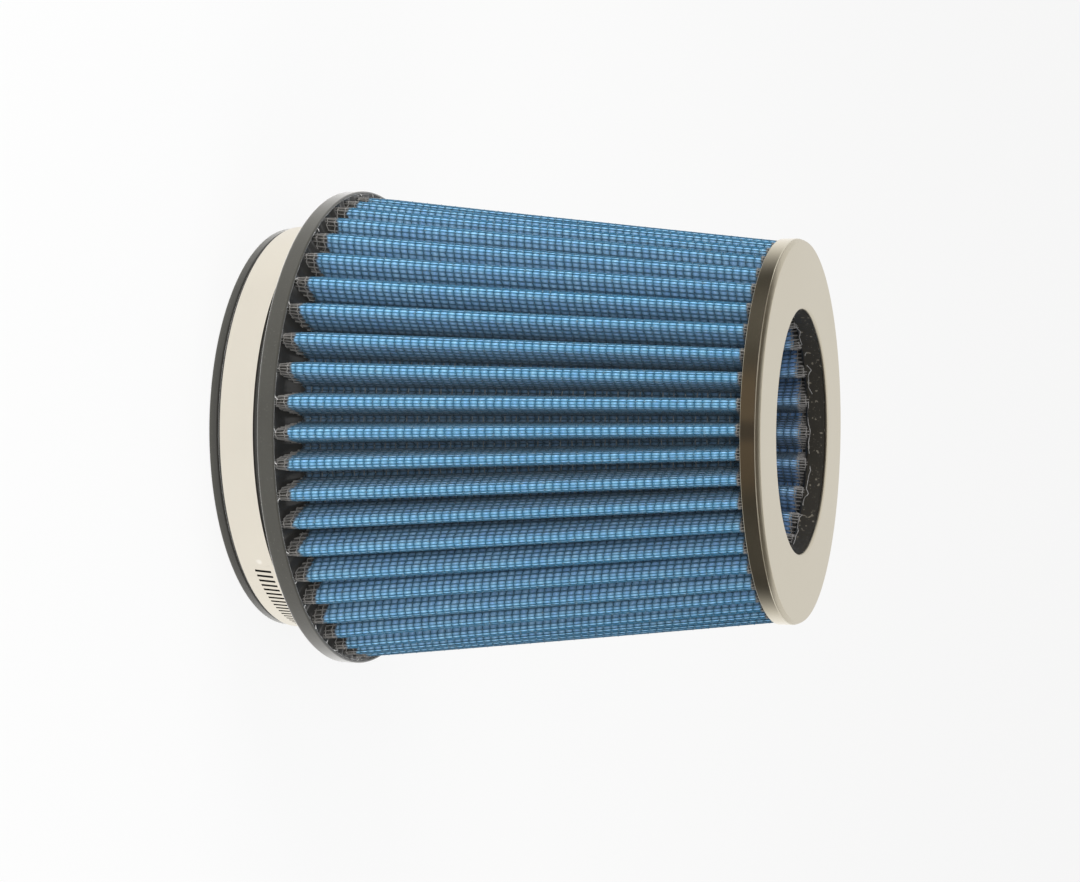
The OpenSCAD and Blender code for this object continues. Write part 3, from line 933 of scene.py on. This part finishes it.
band_finish = steel_finish(
    "brushed_steel", (0.80, 0.76, 0.68), rough=0.24, brushed=0.35, slots=True)
housing_finish = steel_finish("pressed_steel", (0.66, 0.65, 0.62), rough=0.26, brushed=0.2)
screw_finish = steel_finish("screw_steel", (0.52, 0.51, 0.48), rough=0.3, brushed=0.1)
band = from_cad("band", "clamp_band", "filter", bevel=0.04, change=open_slots)
finish_piece(band, band_finish, "clamp_steel", "clamp_band")
housing = from_cad("housing", "clamp_housing", "filter", bevel=0.15)
finish_piece(housing, housing_finish, "clamp_steel", "clamp_housing")
screw = from_cad("screw", "clamp_screw", "screw", bevel=0.12)
finish_piece(screw, screw_finish, "screw_steel", "clamp_screw")

# %% [markdown]
# Small things tell that the filter was cast by hand: the cut edge of the inner
# screen shows as a pale crooked line in the black urethane of the hollow, a
# few wire ends poke out where the pleats meet the rim, and a grain of dirt
# sticks to one fold.

# %% Trapped edge, wire ends and a grain of dirt
def thread(path, r, sides, closed):
    """A tube round each of many paths, shape (paths, steps, 3): p + r (cos q n + sin q b).
    n points away from the axis and b across. An open tube has four sides, and is capped."""
    ahead = np.roll(path, -1, 1) - np.roll(path, 1, 1) if closed else np.gradient(path, axis=1)
    ahead /= np.linalg.norm(ahead, axis=-1, keepdims=True)
    out = path * [1.0, 1.0, 0.0]
    out /= np.linalg.norm(out, axis=-1, keepdims=True)
    b = np.cross(ahead, out)
    b /= np.linalg.norm(b, axis=-1, keepdims=True)
    n = np.cross(b, ahead)
    q = np.arange(sides) * 2 * math.pi / sides
    ring_of = r * (np.cos(q)[:, None] * n[:, :, None, :] + np.sin(q)[:, None] * b[:, :, None, :])
    points = path[:, :, None, :] + ring_of
    many, steps = path.shape[:2]
    one = grid_faces(steps, sides, closed, True)
    if not closed:
        one = np.concatenate([one, [[3, 2, 1, 0]], np.arange(4)[None] + 4 * (steps - 1)])
    return points.reshape(-1, 3), copies(one, many, steps * sides)


EDGE_STEPS, EDGE_R, EDGE_Z = 720, 44.27, 190.6


def trapped_edge():
    """z wanders with a sine and jumps at uneven teeth, one a pleat. The radius wanders along
    the wall of the hollow with three sines."""
    a = np.arange(EDGE_STEPS) * 2 * math.pi / EDGE_STEPS
    count = INNER["count"]
    pleat = a * count / (2 * math.pi)
    chance = np.random.default_rng(5)
    teeth = np.abs(((pleat + 0.25 * np.sin(5 * a)) % 1.0) - 0.5) * 2
    height = np.interp(pleat, np.arange(count + 1), chance.uniform(0.3, 1.5, count + 1))
    jump = height * np.clip(teeth - 0.55, 0, 1) * 2.2
    z = EDGE_Z + 0.5 * np.sin(7 * a + 1) + jump + chance.normal(0, 0.05, EDGE_STEPS)
    r = EDGE_R + 0.05 * np.sin(31 * a) + 0.12 * np.sin(13 * a + 2) + 0.07 * np.sin(37 * a)
    path = np.stack([r * np.sin(a), -r * np.cos(a), z], -1)[None]
    points, faces = thread(path, 0.16, sides=3, closed=True)
    return new_piece("trapped_edge", points, faces, "filter", sharp=80)


LOOSE_ENDS, ENDS_R, ENDS_Z = 26, 87.75, 30.6


def wire_ends():
    """Short hooked wires from the rim's inner edge up onto a ridge: the angle runs on, the
    radius rises by half a sine, and the height grows by a power of the way."""
    chance = np.random.default_rng(11)
    count = OUTER["count"]
    kept = chance.permutation(count)[:LOOSE_ENDS]
    one_each = (LOOSE_ENDS, 1)
    s = np.linspace(0, 1, 6)[None, :]
    side = chance.choice([-1, 1], one_each) * chance.uniform(0.4, 1.2, one_each)
    tall = chance.uniform(0.4, 1.1, one_each)
    ridge = kept[:, None] * 360 / count + OUTER["lean"][0][kept][:, None]
    hook = chance.normal(0, 0.25, one_each) * np.sin(3 * s)
    a = np.radians(ridge + side * (1.3 - s) + hook)
    r = ENDS_R - 0.45 * s + 0.35 * np.sin(math.pi * s)
    z = ENDS_Z + tall * s ** 0.8
    path = np.stack([r * np.sin(a), -r * np.cos(a), z], -1)
    points, faces = thread(path, 0.14, sides=4, closed=False)
    return new_piece("wire_ends", points, faces, "filter", sharp=80)


def pebble(name, centre, size):
    """An ellipsoid with two products of sines for its lumps, its poles merged."""
    rows, columns = 9, 12
    lat = np.linspace(-math.pi / 2, math.pi / 2, rows)[:, None]
    lon = np.arange(columns)[None, :] * 2 * math.pi / columns
    lump = 1 + 0.12 * np.sin(3 * lon + 1) * np.cos(lat) + 0.08 * np.sin(5 * lat + 1)
    unit = np.stack([np.cos(lat) * np.cos(lon), np.cos(lat) * np.sin(lon),
                     np.sin(lat) + 0 * lon], -1)
    points = (np.array(centre) + unit * lump[..., None] * np.array(size)).reshape(-1, 3)
    faces = grid_faces(rows, columns, False, True)
    return new_piece(name, points, faces, "filter", sharp=80, poles=True)


def plain_finish(name, colour, metallic, rough):
    """A plain colour with a little cloud."""
    finish = Finish(name, Metallic=metallic, Roughness=rough)
    cloud = finish.noise(700.0, 2.0).ease(0.35, 0.65)
    return finish.set({"Base Color": finish.mix(cloud, colour, [c * 0.6 for c in colour])})


bare_wire = plain_finish("bare_wire", (0.80, 0.79, 0.77), metallic=0.2, rough=0.3)
trapped_wire = plain_finish("trapped_wire", (0.42, 0.41, 0.40), metallic=0.3, rough=0.45)
dirt = plain_finish("dirt", (0.20, 0.18, 0.15), metallic=0.0, rough=0.9)
finish_piece(trapped_edge(), trapped_wire, "wire")
finish_piece(wire_ends(), bare_wire, "wire")
GRAIN_FOLD, GRAIN_Z, GRAIN_SIZE = 5.22, 47.5, (0.75, 0.6, 1.1)
grain_up = (GRAIN_Z - OUTER["low"][1]) / OUTER["tall"]
grain_at = pleat_point(OUTER, GRAIN_FOLD, grain_up, -0.25)
finish_piece(pebble("grain", grain_at, GRAIN_SIZE), dirt, "gauze")

# %% [markdown]
# The filter is shown in a white tent. The floor is a white sheet. What shiny
# things see of it is painted on the bench under it: white near the filter and
# behind it, fading to the dark wood that gives the ring its brown reflection.
# Three dim walls stand behind the camera, for shiny things alone. The world is
# white where the camera and shiny things see it, and dimmer as a lamp.

# %% Floor, world and lamps
def flat_sheet(name, outline, z):
    """A level sheet with the given corners, in metres."""
    mesh = bpy.data.meshes.new(name)
    mesh.from_pydata([(x, y, z) for x, y in outline], [], [tuple(range(len(outline)))])
    sheet = add_object(name, mesh)
    return sheet


def add_node(tree, kind, *feeds, operation=None):
    """Adds a node whose sockets are fed in order, by links or by values."""
    node = tree.nodes.new("ShaderNode" + kind)
    if operation:
        node.operation = operation
    for socket, feed in zip(node.inputs, feeds):
        if isinstance(feed, bpy.types.NodeSocket):
            tree.links.new(feed, socket)
        else:
            socket.default_value = feed
    return node.outputs


def seen_share(tree):
    """1 for camera rays and for reflected and transmitted rays."""
    path = add_node(tree, "LightPath")
    share = path["Is Camera Ray"]
    for key in ("Is Glossy Ray", "Is Transmission Ray"):
        share = add_node(tree, "Math", share, path[key], operation="MAXIMUM")[0]
    return share


# White, and the share of it in what the camera sees of the floor. The rest takes shadow.
WHITE, GLOW = (1.0, 1.0, 1.0, 1.0), 0.87


def floor_finish():
    """Diffuse white, with GLOW of it given as plain white where the camera sees it."""
    material = bpy.data.materials.new("white_sheet")
    material.use_nodes = True
    tree = material.node_tree
    tree.nodes.clear()
    cloth = add_node(tree, "BsdfDiffuse", (0.72, 0.72, 0.71, 1.0))[0]
    glow = add_node(tree, "Emission", WHITE)[0]
    share = add_node(tree, "Math", seen_share(tree), GLOW, operation="MULTIPLY")[0]
    add_node(tree, "OutputMaterial", add_node(tree, "MixShader", share, cloth, glow)[0])
    return material


def bench_finish():
    """Dark wood by the distance |x| from the middle, and a painted reflection of the white
    sheet, glowing near the filter and behind it, both faded by smooth steps."""
    finish = Finish("dark_bench", Roughness=0.9, Emission_Strength=1.0)
    x, y, _ = finish.axes(finish.place())
    aside = x.size()
    near = (1 - aside.ease(0.44, 0.46)) * y.ease(-0.39, -0.37)
    sheet_reflection = near + (y - aside * 0.8).ease(-0.60, 0.35)
    wood = finish.mix(aside.ease(0.04, 0.13), (0.038, 0.031, 0.025), (0.078, 0.060, 0.042))
    wood = finish.mix(aside.ease(0.38, 0.62), wood, (0.038, 0.035, 0.030))
    shine = finish.mix(sheet_reflection, (0.0, 0.0, 0.0), (0.98, 0.97, 0.94))
    return finish.set({"Base Color": wood, "Emission Color": shine})


def dark_room():
    """Three upright walls from corner to corner of (x, y, height), open towards +Y."""
    corners = [(-1.9, 0.5, 1.5), (-1.9, -1.9, 3.0), (1.9, -1.9, 3.0), (1.9, 0.5, 1.5)]
    feet = [(x, y, 0) for x, y, _ in corners]
    mesh = bpy.data.meshes.new("dark_room")
    mesh.from_pydata(feet + corners, [], [(k, k + 1, k + 5, k + 4) for k in range(3)])
    room = add_object("dark_room", mesh)
    room.visible_camera = room.visible_diffuse = room.visible_shadow = False
    finish = Finish("dim_room", Base_Color=(0.22, 0.20, 0.17, 1.0), Roughness=0.9)
    mesh.materials.append(finish.material)


half_floor = [(0.45, -0.38), (0.60, -0.05), (0.60, 0.45), (1.8, 3.8)]
floor = flat_sheet("floor", half_floor + [(-x, y) for x, y in reversed(half_floor)], -0.0005)
floor.data.materials.append(floor_finish())
floor.visible_glossy = False
bench = flat_sheet("bench", [(-4, -4), (4, -4), (4, 4), (-4, 4)], -0.002)
bench.data.materials.append(bench_finish())
bench.visible_camera = False
dark_room()


def white_world(as_lamp):
    """A world that is plain white where it is seen, and as_lamp times as bright as a lamp."""
    world = bpy.data.worlds.new("white_tent")
    bpy.context.scene.world = world
    world.use_nodes = True
    tree = world.node_tree
    tree.nodes.clear()
    strength = add_node(tree, "MapRange", seen_share(tree), 0.0, 1.0, as_lamp, 1.0)[0]
    add_node(tree, "OutputWorld", add_node(tree, "Background", WHITE, strength)[0])


def soft_box(name, place, wide, high, watts):
    """A rectangular lamp at place, in metres, that faces the filter's middle."""
    data = bpy.data.lights.new(name, "AREA")
    data.shape, data.size, data.size_y, data.energy = "RECTANGLE", wide, high, watts
    back = np.array(place) - (0.0, 0.0, 0.1)
    back /= np.linalg.norm(back)
    side = np.cross([0.0, 0.0, 1.0], back)
    side /= np.linalg.norm(side)
    lamp = stand(name, data, side, np.cross(back, side), back, place)
    lamp.visible_glossy = False
    print(f"{name}: {watts} W")


bpy.context.scene.view_settings.view_transform = "Standard"
white_world(as_lamp=0.55)
soft_box("top_box", (-1.2, -0.45, 0.45), wide=0.9, high=0.7, watts=15.0)
soft_box("front_box", (-0.2, -1.5, 0.7), wide=1.0, high=0.8, watts=14.0)
soft_box("low_box", (1.2, -0.4, 0.5), wide=0.8, high=0.7, watts=8.0)
